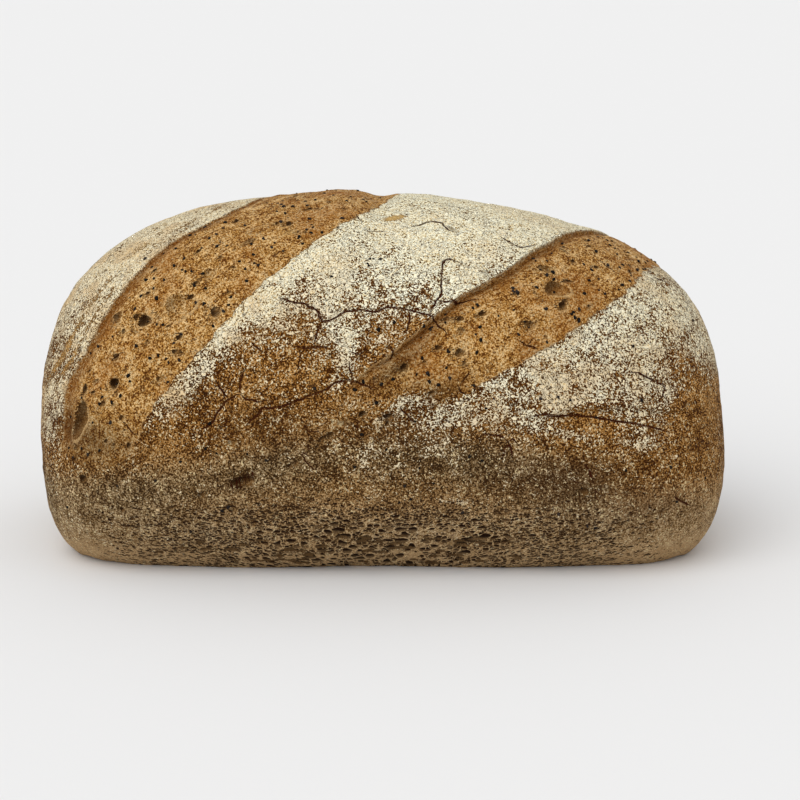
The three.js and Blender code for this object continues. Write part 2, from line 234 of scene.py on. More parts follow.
def bloom_pits():
    """Small open bubbles of the torn surface as (x, angle, across, high, deep), spread evenly by
    golden-angle steps round the loaf and random shares across the blooms."""
    dice = np.random.default_rng(12)
    pits = []
    for bloom, count in ((LEFT_BLOOM, 70), (RIGHT_BLOOM, 55)):
        angle = bloom["opens"][0] + 8 + (np.arange(count) * 61.8 * 1.37) % 125
        ear, foot = bloom_edges(bloom, angle)
        x = ear + (foot - ear) * dice.uniform(0.1, 0.92, count)
        across = dice.uniform(0.9, 2.2, count) * dice.uniform(0.8, 1.2, count)
        pits.append(np.stack([x, angle, across, across * dice.uniform(0.7, 1, count),
                              across * dice.uniform(0.2, 0.55, count)], axis=-1))
    return np.concatenate(pits)


def nearest_hollow(points, hollows):
    """For each point, where it lies in the nearest hollow: to the right and up from its middle, in
    the hollow's own half sizes (3 and 3 from twice those on), how deep that hollow is, and how
    steep: its depth as a share of its smaller size."""
    radius = np.full(points.shape[:-1], 2.0)
    right, up = np.full((2,) + points.shape[:-1], 3.0)
    depth, steep = np.zeros((2,) + points.shape[:-1])
    centres = dome(hollows[:, 0], hollows[:, 1])
    normals = outward(hollows[:, 0], hollows[:, 1])
    for (x, angle, across, high, deep), centre, normal in zip(hollows, centres, normals):
        along = np.array([1.0, 0, 0]) - normal * normal[0]
        if abs(normal[0]) > 0.5 or angle < -15 or angle > 195:
            along = np.cross([0, 0, 1.0], normal)
        along = unit(along)
        round_ = np.cross(normal, along)
        close = np.all(np.abs(points - centre) < 1.2 * max(across, high), axis=-1)
        offset = points[close] - centre
        wobble = 1 + 0.12 * np.sin(3 * np.arctan2(offset @ round_, offset @ along) + x)
        u, v = wobble * 2 * (offset @ along) / across, wobble * 2 * (offset @ round_) / high
        better = np.hypot(u, v) < radius[close]
        for field, values in ((radius, np.hypot(u, v)), (right, u), (up, v), (depth, deep),
                              (steep, deep / min(across, high))):
            field[close] = np.where(better, values, field[close])
    return right, up, depth, steep


def hollow_relief(right, up, depth):
    """A bowl, depth times (1 - r^2)^0.9, with a low rounded rim just outside it."""
    radius = np.hypot(right, up)
    bowl = -depth * np.maximum(1 - radius ** 2, 0) ** 0.9
    return bowl + 0.16 * depth * bell(radius, 1.15, 0.22)


# Cracks of the crust, each a line of (x, angle) places. Those that meet or lie close side by side
# are in different groups.
CRACKS = [[
    [(-57, 1.5), (-53, 3.5), (-51.5, 6.5), (-48, 10), (-44.5, 11.5)],
    [(-42.5, 2.5), (-40, 5), (-37, 8), (-31.5, 8), (-28, 9), (-23.5, 11), (-18, 12.5), (-15, 14.5),
     (-10.5, 15.5), (-9, 15), (-5.5, 14), (-3, 12.5)],
    [(-33, 38), (-29.5, 37), (-24, 36), (-20, 33.5), (-19, 31), (-15.5, 32), (-12, 34), (-6, 34.5),
     (-1.5, 34), (2, 35.5), (9, 34.5), (14.5, 33), (17, 31.5), (20.5, 27.5)],
    [(-28.5, 24.5), (-25.5, 24), (-21.5, 24), (-16.5, 24.5)],
    [(46, 5), (51, 6), (54.5, 5), (63.5, 5.5), (72.5, 3.5), (79.5, 2.5), (86, 0.5), (91, -1.5)],
    [(30.5, 0.5), (33.5, 0.5), (39.5, 0), (41.5, -7.5)],
    [(79.5, 18.5), (82.5, 19), (88, 16), (91, 15.5), (90.5, 11), (92, 8.5)],
    [(9.5, 65), (15.5, 68), (20, 68), (22, 63.5), (23.5, 63)], [(38.5, 62), (45.5, 57.5), (51, 60)],
    [(62.5, -7), (65.5, -11), (66.5, -16), (68.5, -17.5)],
    [(23.5, 14), (25, 12), (28, 10), (28.5, 9)], [(43, 26.5), (46, 25), (50, 24.5)],
    [(5.5, 8.5), (8.5, 5.5), (11, 2)], [(92.5, -21), (99.5, -27)], [(-41.5, 26), (-38, 22.5)],
    [(-47.6, -12.8), (-47.4, -16.2)], [(-43.6, -10.8), (-43.2, -14.4)],
], [
    [(-44.5, 11.5), (-42.5, 10), (-37, 9.5)],
    [(15, 33.5), (17, 37), (19, 39), (19, 43), (19.5, 50.5), (21.5, 51.5), (25, 50)],
    [(-19, 31), (-20, 29.5), (-21.5, 25)], [(42.5, 2.5), (39.5, 0), (39, -3.5)],
    [(24.5, 14), (28, 18)], [(46, 25), (48.5, 27.5)], [(-9.5, 15), (-9.5, 17), (-10.5, 20)],
    [(9, 34.5), (8.5, 31), (7.5, 27.5)], [(-46.4, -12), (-46, -15.8)],
    [(-42.3, -10.4), (-41.9, -13.9)],
], [
    [(-44.5, 11.5), (-44, 17), (-43, 19)], [(-48, 10), (-50, 12.5), (-52.5, 15.5)],
    [(17.5, 37.5), (20.5, 36.5), (31, 38)], [(37.5, 3.5), (39.5, 0), (44.5, -4)],
    [(-45, -11.4), (-44.7, -15.2)], [(-40.9, -9.8), (-40.6, -13)],
]]
CRACK_WIDTH = 0.44
HAIRLINE_WIDTH = 0.28
HAIRLINE_COUNT = 46


def hairlines():
    """Short fine cracks, also round the back: each takes two to four steps of 2 mm from a random
    place, turning a little at each."""
    dice = np.random.default_rng(5)
    lines = []
    for i in range(HAIRLINE_COUNT):
        angle = (i * 137.5) % 205 - 12
        x = dice.uniform(-96, 96)
        heading = dice.uniform(0, math.tau)
        line = [(x, angle)]
        for _ in range(dice.integers(2, 5)):
            heading += dice.normal(0, 0.6)
            x += 1.9 * math.cos(heading)
            angle += 1.6 * math.sin(heading)
            line.append((x, angle))
        lines.append(line)
    return lines


def crack_field(points, normals, lines, width, seed):
    """For each point, the signed distance to the nearest crack of a group, in millimetres, its sign
    saying on which side, and that crack's width there: nothing past its ends or 1.8 mm away."""
    dice = np.random.default_rng(seed)
    side = np.full(points.shape[:-1], 3.0)
    room = np.zeros(points.shape[:-1])
    for line in lines:
        xs, angles = np.array(line, float).T
        steps = np.linspace(0, len(xs) - 1, (len(xs) - 1) * 3 + 1)
        xs, angles = (np.interp(steps, np.arange(len(line)), values) for values in (xs, angles))
        inner = np.abs(np.sin(np.pi * steps)) > 0.1
        xs = xs + inner * dice.normal(0, 0.22, len(xs))
        angles = angles + inner * dice.normal(0, 0.22, len(xs))
        path = dome(xs, angles)
        close = np.all((points > path.min(0) - 3) & (points < path.max(0) + 3), axis=-1)
        near, normal = points[close], normals[close]
        best, width_there = side[close], room[close]
        lengths = np.concatenate([[0], np.cumsum(np.linalg.norm(np.diff(path, axis=0), axis=1))])
        for start, end, run in zip(path[:-1], path[1:], lengths):
            step = end - start
            share = np.clip((near - start) @ step / (step @ step), 0, 1)
            offset = near - start - share[:, None] * step
            distance = np.linalg.norm(offset, axis=1)
            signed = np.where(np.sum(np.cross(step, offset) * normal, axis=1) < 0, -distance, distance)
            place = run + share * np.linalg.norm(step)
            to_tip = np.minimum(place, lengths[-1] - place)
            better = distance < np.abs(best)
            best = np.where(better, signed, best)
            width_there = np.where(better, width * ease(to_tip, -0.1, 3.5) ** 0.5, width_there)
        side[close] = best
        room[close] = width_there
    return side, room * (1 - ease(np.abs(side), 1.0, 1.8))


SKIN_INSET = 0.15           # all of the crust is this much in, so that its fine relief stays within
TIP_INSET = 0.3             # the loaf's overall size, and the ends this much more


def bloom_fields(x, angle):
    """Where each place lies in the nearer bloom: how far inside its edges, which meet at the back,
    how open it is there, and how far right of its ear, in millimetres across it."""
    edges, fields = [], []
    for bloom in (LEFT_BLOOM, RIGHT_BLOOM):
        ear, foot = bloom_edges(bloom, angle)
        slant = edge_at(bloom["ear"], angle + 2) - edge_at(bloom["ear"], angle - 2)
        squeeze = 1 / np.sqrt(1 + (slant / (4 * MM_PER_DEGREE)) ** 2)
        narrowing = ease(angle, bloom["closes"][0] - 12, bloom["closes"][1] - 6)
        inside = (np.minimum(x - ear, foot - x) - narrowing * (foot - ear) / 2) * squeeze
        edges.append((ear, foot))
        fields.append((inside, openness(bloom, angle), (x - ear) * squeeze))
    right = x > (edges[0][1] + edges[1][0]) / 2
    inside, opened, from_ear = (np.where(right, on_right, on_left) for on_left, on_right in zip(*fields))
    return {"inside": inside, "open": opened, "from_ear": from_ear}


def foaminess(x, angle):
    """How foamy the turned-under rim is, from 0 to 1: most low down and near the middle."""
    front = np.where(angle > 90, 180 - angle, angle)
    return (1 - ease(front, -31, -15)) * (0.15 + 0.85 * bell(x, -2, 54)) * (1 - ease(np.abs(x), 82, 104))


def crust_relief(x, angle):
    """All of the crust's relief beyond the dome, in millimetres, and the fields that its colours
    follow: a dictionary of arrays, and of triples that the material reads as they are."""
    points = dome(x, angle)
    normals = outward(x, angle)
    fields = bloom_fields(x, angle)
    torn = fields["open"] * ease(fields["inside"], 0, 2)
    pits = nearest_hollow(points, np.concatenate([np.array(PITS, float), bloom_pits()]))
    pores = nearest_hollow(points, rim_pores())
    fibre = np.stack([angle * MM_PER_DEGREE / 9, fields["from_ear"] / 1.6, 0 * x], axis=-1)
    relief = bloom_relief(LEFT_BLOOM, x, angle) + bloom_relief(RIGHT_BLOOM, x, angle) \
        + unevenness(x, angle, points) + fold_relief(x, angle) \
        + hollow_relief(*pits[:3]) + hollow_relief(*pores[:3])
    relief += 0.28 * waves(points, 8, 1) + 0.16 * waves(points, 3.4, 2) + 0.1 * waves(points, 1.7, 3)
    relief += torn * 0.22 * waves(fibre, 1, 4)
    widths = [CRACK_WIDTH] * len(CRACKS) + [HAIRLINE_WIDTH]
    for number, (lines, width) in enumerate(zip(CRACKS + [hairlines()], widths)):
        side, room = crack_field(points, normals, lines, width, 20 + number)
        fields[f"crack_{number}"] = (side, room, 0 * side)
        relief -= 1.1 * room * bell(side, 0, 0.5)
    fields["pits"] = (pits[0], pits[1], pits[3])
    fields["pores"] = (pores[0], pores[1], foaminess(x, angle))
    inset = SKIN_INSET + TIP_INSET * ease(np.abs(points[..., 0]), 108, 116)
    return points, normals, relief - inset, fields


# Where flour lies: how thickly each panel is dusted at some angles round the loaf, from 0 to 1.
LEFT_PANEL_FLOUR = [
    (-30, -0.1), (-15, 0.1), (0, 0.3), (15, 0.48), (25, 0.66), (40, 0.84), (60, 0.92), (90, 0.92),
    (120, 0.75), (150, 0.5), (170, 0.3), (190, 0.1), (205, -0.1),
]
MIDDLE_PANEL_FLOUR = [
    (-28, -0.3), (-14, -0.12), (0, 0.0), (10, 0.1), (20, 0.24), (28, 0.36), (36, 0.56), (46, 0.72),
    (60, 0.92), (90, 0.96), (120, 0.85), (145, 0.6), (165, 0.35), (185, 0.1), (205, -0.1),
]
RIGHT_PANEL_FLOUR = [
    (-24, -0.2), (-8, 0.0), (2, 0.12), (8, 0.44), (15, 0.6), (28, 0.68), (45, 0.72), (90, 0.75),
    (120, 0.7), (150, 0.5), (170, 0.25), (190, 0.05), (205, -0.1),
]
# Thicker and barer patches: (x, angle, half length, half height in mm, tilt in degrees, change).
FLOUR_PATCHES = [
    (-11, 25, 3.2, 9, -12, 0.4), (-28, 18, 15, 12, -40, -0.16), (20, -3, 17, 4.5, 2, 0.2),
    (27, -19.5, 9, 1.3, -3, 0.5), (16, -17, 6, 2, -10, 0.2), (57, 1, 15, 1.4, -14, 0.34),
    (62, -1.5, 9, 1.3, -14, 0.3), (81.5, -3, 7, 4.5, 0, 0.45), (105, 8, 9, 22, 0, -0.5),
    (-101, 52, 5, 10, 20, -0.15), (36, 6, 16, 7, 10, -0.08), (-98, 10, 3, 7, 0, 0.3),
    (3.9, 70.5, 3.4, 1.9, 0, -1.6), (-34, 33, 6, 5, -40, 0.22), (-98, 34, 3, 6, 20, 0.35),
    (-93, 25, 3, 3, 0, -0.3), (10, 30, 6, 4, 0, -0.25), (-2, 30, 5, 4, 20, -0.2),
    (-57, -4, 5, 2.5, 20, 0.25), (95, 30, 7, 14, 20, -0.12), (70, 12, 8, 4, 0, 0.12),
    (-36, 42, 4, 1.2, 8, -0.5), (5, 55, 4, 1.4, 0, -0.3), (-109, 12, 5, 10, 0, 0.5),
    (-109, -6, 4, 6, 0, 0.4), (-103, 24, 3, 5, 0, -0.1), (-88, 45, 4, 4, 30, -0.1),
    (22, 13, 11, 3, 32, -0.5), (55, -10, 25, 6, 0, -0.12), (-10, 152, 20, 10, 30, -0.4),
    (60, 160, 22, 8, -20, -0.4), (-70, 150, 12, 12, 10, -0.35), (30, 178, 24, 7, 5, 0.2),
]
# Darker places, partly baked darker and partly painted shade, and pale bare places:
# (x, angle, half length, half height in mm, tilt, strength).
TOAST_AND_SHADE_PATCHES = [
    (-38, 3.5, 24, 8, 4, 0.42), (60, -12, 28, 10, 0, 0.5), (86, -24, 22, 9, 0, 0.35),
    (-99, 1, 9, 8, 0, 0.3), (12, 12, 12, 6, -25, 0.25), (0, 2, 16, 7, 0, 0.3), (100, -2, 12, 9, 0, 0.15),
    (4, 18.5, 15, 2.6, 39, 0.55), (-44.2, -13.2, 4.6, 1.8, 26, 0.85), (-90, -5, 16, 8, 0, 0.5),
    (20, 13, 10, 3, 32, 0.38), (-60, 160, 30, 10, 0, 0.2), (50, 165, 30, 10, 0, 0.2),
]
BARE_PATCHES = [(3.9, 70.5, 4.2, 2.2, 0, 1.2), (12, 62, 2.2, 1.2, 20, 0.5), (-30, 60, 2.0, 1.2, 0, 0.4)]


def patches(x, angle, table):
    """The sum of tilted bell-shaped patches at each place."""
    total = np.zeros_like(x)
    for mid_x, mid_angle, length, height, tilt, change in table:
        along, up = x - mid_x, (angle - mid_angle) * MM_PER_DEGREE
        cosine, sine = math.cos(math.radians(tilt)), math.sin(math.radians(tilt))
        total = total + change * bell(along * cosine + up * sine, 0, length) \
            * bell(up * cosine - along * sine, 0, height)
    return total


def level_angle(x, angle, height):
    """The angle, changing near both ends into that of mid-loaf crust at the same height, because
    all angles meet at the tips and the loaf's shades keep level there."""
    level = np.degrees(np.arcsin(np.clip((height - GIRTH_HEIGHT) / (DOME_RISE + 0.5), -1, 1)))
    return angle + (np.where(angle > 90, 180 - level, level) - angle) * ease(np.abs(x), 84, 108)


def bare_streaks(x, angle, fields):
    """Two streaks along the left bloom's ear, 4.4 and 9.6 mm outside it, where the flour cracked off:
    bells across each, fading towards the girth."""
    from_ear = fields["from_ear"]
    streaks = bell(from_ear, -4.4, 0.9) + bell(from_ear, -9.6, 1.3)
    return streaks * (x < -20) * ease(np.minimum(angle, 180 - angle), 8, 30)


def flour_amount(x, angle, points, fields):
    """How thickly flour lies, from 0 to 1: the panel's own dusting, a white band beside the left
    bloom's foot, the patches as tilted bells, the bare streaks, and little of it inside the blooms."""
    left_ear, left_foot = bloom_edges(LEFT_BLOOM, angle)
    right_ear, right_foot = bloom_edges(RIGHT_BLOOM, angle)
    shown = level_angle(x, angle, points[..., 2]) + 5 * waves(points, 11, 35)
    left, middle, right = (np.interp(shown, *np.array(table).T)
                           for table in (LEFT_PANEL_FLOUR, MIDDLE_PANEL_FLOUR, RIGHT_PANEL_FLOUR))
    amount = np.where(x < (left_ear + left_foot) / 2, left, middle)
    amount = np.where(x > (right_ear + right_foot) / 2, right, amount)
    band = bell(np.maximum(x - left_foot, 0), 0, 11) * (x > left_foot)
    amount = amount + 0.55 * band * ease(angle, -2, 14) * (1 - ease(angle, 44, 60))
    amount = amount + patches(x, angle, FLOUR_PATCHES)
    amount = amount - bare_streaks(x, angle, fields) * (0.4 + 0.4 * waves(points, 7, 36))
    amount = amount + 0.16 * waves(points, 14, 31) + 0.14 * waves(points, 5, 32)
    torn = ease(fields["inside"], -0.4, 0.6) * ease(fields["open"], 0.1, 0.5)
    return np.clip(amount, -0.4, 1.1) * (1 - torn) - 0.22 * torn


# Rings of the crust's mesh: (first angle, rings up to the next). The last wraps to the first.
RING_BANDS = [(-52, 66), (-19, 156), (96, 80), (190, 34), (232, 12)]
LEFT_END_COLUMNS, LEFT_BLOOM_COLUMNS, MIDDLE_COLUMNS = 62, 58, 76
RIGHT_BLOOM_COLUMNS, RIGHT_END_COLUMNS = 42, 46
EAR_STEP = 0.4              # half the width, along x, of the drop from an ear into its furrow


def ring_angles():
    """The angle of every ring, close together over the crust that shows and wide apart underneath."""
    firsts = [first for first, _ in RING_BANDS] + [RING_BANDS[0][0] + 360]
    return np.concatenate([np.linspace(firsts[i], firsts[i + 1], count, endpoint=False)
                           for i, (_, count) in enumerate(RING_BANDS)])


def ring_columns(angle):
    """x of every column on every ring, as a grid: even bands between the ends, ears and feet. In
    the end bands the distance from the tip grows as the power 2.5, which is even on the surface."""
    left_ear, left_foot = bloom_edges(LEFT_BLOOM, angle)
    right_ear, right_foot = bloom_edges(RIGHT_BLOOM, angle)

    def between(a, b, count):
        return a[:, None] + (b - a)[:, None] * np.linspace(0, 1, count, endpoint=False)

    def to_tip(edge, side, count):
        t = np.arange(1, count) / count
        return side * (HALF_LENGTH - (HALF_LENGTH - side * edge)[:, None] * t ** 2.5)

    return np.concatenate([
        to_tip(left_ear - EAR_STEP, -1, LEFT_END_COLUMNS), (left_ear - EAR_STEP)[:, None],
        between(left_ear + EAR_STEP, left_foot, LEFT_BLOOM_COLUMNS),
        between(left_foot, right_ear - EAR_STEP, MIDDLE_COLUMNS), (right_ear - EAR_STEP)[:, None],
        between(right_ear + EAR_STEP, right_foot, RIGHT_BLOOM_COLUMNS), right_foot[:, None],
        to_tip(right_foot, 1, RIGHT_END_COLUMNS)[:, ::-1],
    ], axis=1)


def new_piece(name, points, faces, material):
    """A smooth mesh object from points in millimetres and faces as lists of point numbers."""
    mesh = bpy.data.meshes.new(name)
    mesh.from_pydata((points * 0.001).tolist(), [], faces)
    mesh.polygons.foreach_set("use_smooth", np.ones(len(mesh.polygons), bool))
    mesh.materials.append(material)
    mesh.update()
    piece = bpy.data.objects.new(name, mesh)
    bpy.context.scene.collection.objects.link(piece)
    return piece


def add_field(piece, name, values):
    """Stores three numbers at each point of a piece, for its material to read by name."""
    field = piece.data.attributes.new(name, "FLOAT_VECTOR", "POINT")
    field.data.foreach_set("vector", np.ascontiguousarray(values, np.float32).ravel())


def feed(node, inputs):
    """Gives each named socket of a node its value, or the wire that leads to it."""
    for name, value in inputs.items():
        if isinstance(value, Wire):
            value.tree.links.new(value.socket, node.inputs[name])
        else:
            node.inputs[name].default_value = value


class Wire:
    """A socket of a material's nodes. Sums written with wires add the nodes that work them out."""

    def __init__(self, tree, socket=None):
        self.tree = tree
        self.socket = socket

    def node(self, kind, settings, inputs, output=0):
        """Adds a node with these settings (a ramp's stops as position and colour) and inputs. Gives
        the wire of one of its outputs."""
        made = self.tree.nodes.new("ShaderNode" + kind)
        for name, value in settings.items():
            if name == "stops":
                stops = made.color_ramp.elements
                while len(stops) < len(value):
                    stops.new(0.5)
                for stop, (position, colour) in zip(stops, value):
                    stop.position = position
                    stop.color = colour
            else:
                setattr(made, name, value)
        feed(made, inputs)
        return Wire(self.tree, made.outputs[output])

    def maths(self, operation, *values):
        return self.node("Math", {"operation": operation}, dict(enumerate(values)))

    def __add__(self, other):
        return self.maths("ADD", self, other)

    def __sub__(self, other):
        if self.socket.type == "VECTOR":
            return self.node("VectorMath", {"operation": "SUBTRACT"}, {0: self, 1: other})
        return self.maths("SUBTRACT", self, other)

    def __rsub__(self, other):
        return self.maths("SUBTRACT", other, self)

    def __mul__(self, other):
        return self.maths("MULTIPLY", self, other)

    def __pow__(self, other):
        return self.maths("POWER", self, other)

    def size(self):
        return self.maths("ABSOLUTE", self)

    def at_least(self, other):
        return self.maths("MAXIMUM", self, other)

    def ease(self, low, high):
        """0 below low, 1 above high, and an S-curve between them."""
        return self.node("MapRange", {"interpolation_type": "SMOOTHSTEP"},
                         {"Value": self, "From Min": low, "From Max": high})

    def place(self):
        """Where on the piece this is, in millimetres."""
        return self.node("TexCoord", {}, {}, "Object").stretched(1000, 1000, 1000)

    def stretched(self, x, y, z):
        """This vector with its three parts multiplied."""
        return self.node("VectorMath", {"operation": "MULTIPLY"}, {0: self, 1: (x, y, z)})

    def parts(self):
        """The three numbers of this vector."""
        return [self.node("SeparateXYZ", {}, {0: self}, i) for i in range(3)]

    def noise(self, size, detail, roughness, distortion=0.0, output=0):
        """Cloudy noise about size across at this place, from 0 to 1 and mostly near 0.5."""
        inputs = {"Vector": self, "Scale": 1 / size, "Detail": detail, "Roughness": roughness,
                  "Distortion": distortion}
        return self.node("TexNoise", {}, inputs, output)

    def cells(self, size, feature, output="Distance"):
        """Random cells about size across: how far off the nearest wall or middle is, in cells, where
        that middle is, or the cell's own random colour."""
        return self.node("TexVoronoi", {"feature": feature}, {"Vector": self, "Scale": 1 / size}, output)

    def shaken(self, size, amount):
        """This place, moved at random by up to about amount, smoothly over size."""
        cloud = self.noise(size, 1, 0.5, output="Color")
        inputs = {0: cloud, 1: (2 * amount,) * 3, 2: self}
        return self.node("VectorMath", {"operation": "MULTIPLY_ADD"}, inputs) - (amount,) * 3

    def field(self, name):
        """The vector stored at each point of the mesh under this name."""
        return self.node("Attribute", {"attribute_name": name}, {}, "Vector")

    def into(self, other, amount):
        """This colour, blended by an amount from 0 to 1 into another: a wire, or a shade as seen."""
        colour = other if isinstance(other, Wire) else paint(other)
        return self.node("Mix", {"data_type": "RGBA"}, {0: amount, 6: self, 7: colour}, 2)

    def shades(self, stops):
        """A colour for this number, from stops of (position, shade as seen)."""
        stops = [(place, paint(shade)) for place, shade in stops]
        return self.node("ValToRGB", {"stops": stops}, {0: self})


def paint(seen):
    """Linear colour of a shade given as seen on a screen, 0 to 255: the sRGB curve undone."""
    shade = np.array(seen) / 255
    return (*np.where(shade > 0.04045, ((shade + 0.055) / 1.055) ** 2.4, shade / 12.92), 1.0)


def new_material(name):
    """A material, a wire to add its nodes with, and its Principled shader node."""
    material = bpy.data.materials.new(name)
    material.use_nodes = True
    tree = material.node_tree
    return material, Wire(tree), tree.nodes["Principled BSDF"]


# Shades of the crust: (position, colour as seen on a screen), dark to light.
BROWN_CRUST = [(0, (62, 28, 2)), (0.22, (104, 66, 20)), (0.5, (138, 94, 40)), (0.78, (164, 114, 54)),
               (1, (200, 154, 94))]
GREY_SIDE = [(0, (52, 36, 14)), (0.25, (84, 65, 37)), (0.5, (110, 89, 58)), (0.75, (128, 107, 76)),
             (1, (160, 140, 108))]
DULL_RIM = [(0, (96, 68, 34)), (0.25, (140, 110, 70)), (0.5, (168, 137, 96)), (0.75, (184, 154, 114)),
            (1, (204, 176, 136))]
TORN_CRUMB = [(0, (92, 50, 12)), (0.2, (142, 94, 36)), (0.5, (177, 129, 65)), (0.8, (194, 148, 84)),
              (1, (224, 186, 130))]
UNDER_FLOUR = [(0, (80, 48, 16)), (0.5, (158, 114, 58)), (1, (206, 174, 126))]
FLOUR = [(0, (206, 180, 128)), (0.38, (255, 244, 206)), (0.75, (255, 252, 226))]

# Painted light: a paler shade for the lowest 16 mm of the rim, near the floor.
BASE_PAINTED_LIGHT = (192, 158, 114)
BURNT_GRAIN = (38, 22, 8)
# Pale specks: pale grains and painted glints.
PALE_GRAIN_AND_GLINT = (226, 204, 156)
# Darker toasted crust, partly painted shade.
TOAST_AND_SHADE = (50, 24, 4)
WRINKLE = (84, 44, 10)
ORANGE_BLUSH = (150, 90, 30)
# Painted shade in the furrow under an ear, partly its darker crust.
EAR_FOOT_SHADE = (110, 62, 18)
# Painted light on an ear's wall, which faces away from the key light.
EAR_WALL_PAINTED_LIGHT = (232, 198, 148)
FLOUR_SHADOW = (66, 34, 8)
BARE_TAN = (198, 164, 104)
THIN_FLOUR = (216, 182, 132)
BAKED_FLOUR = (208, 170, 116)
FLOUR_GAP = (64, 42, 14)
# The pit's pale rim, made brighter on its lower right as a painted highlight.
PIT_RIM_AND_HIGHLIGHT = (220, 184, 130)
# Painted shade on a pit's floor.
PIT_FLOOR_SHADE = (134, 96, 52)
PIT_SHADOW = (34, 14, 2)
# Painted shade on the floor of a wide pore.
PORE_FLOOR_SHADE = (104, 78, 48)
PORE_SHADOW = (28, 12, 0)
FOAM_SHADOW = (30, 12, 0)
CRACK = (60, 22, 5)
# The foam's bubbles: size in mm, the foaminess at which they begin and are most, the share of
# them open there, and the colour of their floors, darker than the crust as painted shade. Small
# ones keep clear of open large ones.
FOAM_BUBBLES = [(2.5, 0.55, 1.0, 0.6, (104, 80, 52)), (1.4, 0.3, 0.9, 0.9, (84, 58, 32)),
                (0.75, 0.0, 0.5, 0.95, (66, 40, 16))]


class CrustGrain:
    """A place on the crust in millimetres, and the cloudy noises there that its shades share, each
    centred on 0, from patches of 16 mm down to grains of 0.5 mm. Flakes are the noise's ridges."""

    def __init__(self, wire):
        self.wire = wire
        self.place = wire.place()
        self.broad = self.place.noise(16, 1, 0.5) - 0.5
        self.clump = self.place.noise(4.6, 2, 0.6) - 0.5
        self.flake = (self.place.noise(1.2, 1, 0.65, 0.8) - 0.5).size() - 0.08
        self.speck = self.place.noise(0.85, 2, 0.65) - 0.5
        self.grit = self.place.noise(0.75, 1, 0.5) - 0.5 + self.clump * 0.3
        self.fine = self.place.noise(0.5, 0, 0.5) - 0.5
        self.mottle = self.flake * 1.4 + self.speck * 2.1 + self.fine * 2.8 + self.clump * 1.3 \
            + self.broad * 0.8 + 0.5


def plain_crust(at, grey, rim):
    """Crust without flour: orange-brown, duller at the foamy rim, greyer along the side. The rim's lowest
    16 mm is lighter, as painted light.
    """
    _, _, height = at.place.parts()
    # Painted light: the rim's colour turns paler towards the floor, over its lowest 16 mm.
    dull = (at.mottle * 0.7 + 0.15).shades(DULL_RIM).into(BASE_PAINTED_LIGHT, 1 - height.ease(0, 16))
    crust = at.mottle.shades(BROWN_CRUST).into(dull, rim).into(at.mottle.shades(GREY_SIDE), grey)
    return crust.into(BURNT_GRAIN, (at.grit * -1).ease(0.12, 0.2) * 0.7)


def torn_crumb(at, inside, ear):
    """The golden torn surface of a bloom, with painted shade, partly darker crust, at its ear's foot
    and painted light on its ear's wall. Also gives the fibres."""
    fibres = at.wire.field("grain").stretched(0.3, 1, 1).noise(1.3, 2, 0.6, 0.5) - 0.5
    fibres = fibres * inside.ease(0.3, 1.0)
    crumb = (at.speck * 2.0 + at.fine * 2.4 + fibres * 1.5 + at.clump * 1.8 + 0.56).shades(TORN_CRUMB)
    wrinkle = 1 - (at.place.noise(3.4, 2, 0.6, 0.8) - 0.5).size().ease(0.004, 0.016)
    crumb = crumb.into(WRINKLE, wrinkle * at.clump.ease(-0.06, 0.02) * 0.8)
    crumb = crumb.into(ORANGE_BLUSH, (at.broad + 0.06).ease(0, 0.25) * 0.4)
    # Painted shade in the furrow under the ear, partly darker crust there.
    crumb = crumb.into(EAR_FOOT_SHADE, ear * 0.6)
    # Painted light: the ear's wall is painted pale to stand in for light.
    return crumb.into(EAR_WALL_PAINTED_LIGHT, (1 - inside.ease(-0.4, 0.0)) * 0.85), fibres


def floured(at, crust, flour, bloom):
    """The crust with toasted places and painted shade, bare places and flour, which covers where the
    noises and its own thickness pass a level, and which fine dark gaps divide. Also gives the cover."""
    toast_and_shade, bare, cream = at.wire.field("tone").parts()
    level = at.flake * 11 + at.speck * 4.2 + at.fine * 3.0 + at.clump * 3.4 + at.broad * 1.0 \
        + flour * 2.9 - 1.55
    cover = level.ease(-0.18, 0.14) * (1 - bloom * 0.85)
    thick = flour.ease(0.4, 0.9)
    gap = (1 - (at.flake + 0.08).ease(0.014, 0.05)) * (at.clump + at.speck).ease(-0.05, 0.07)
    halo = level.ease(-1.0, -0.5) * flour.ease(0.1, 0.35)
    white = (at.fine * 1.8 + at.speck * 2.6 + at.clump * 1.4 + 0.5).shades(FLOUR)
    white = white.into(THIN_FLOUR, 0.5 - (0.5 - cream * 0.35) * flour.ease(0.1, 0.7))
    white = white.into(BAKED_FLOUR, (at.broad + at.clump * 0.6).ease(0.0, 0.16) * (cream * 0.4 + 0.1))
    # Toasted places, partly painted shade, and painted shade that grows towards the underside darken the
    # crust.
    crust = crust.into(TOAST_AND_SHADE, toast_and_shade).into(FLOUR_SHADOW, halo * (1 - thick) * 0.5)
    crust = crust.into((at.mottle * 0.8 + 0.1).shades(UNDER_FLOUR), thick * 0.8).into(BARE_TAN, bare)
    # Pale specks at random, pale grains and painted glints, fewer in the blooms.
    crust = crust.into(PALE_GRAIN_AND_GLINT, at.grit.ease(0.15, 0.2) * (1 - bloom * 0.45) * 0.75)
    crust = crust.into(white, cover * (1 - toast_and_shade * 0.6))
    return crust.into(FLOUR_GAP, gap * flour.ease(0.2, 0.6) * 0.92), cover


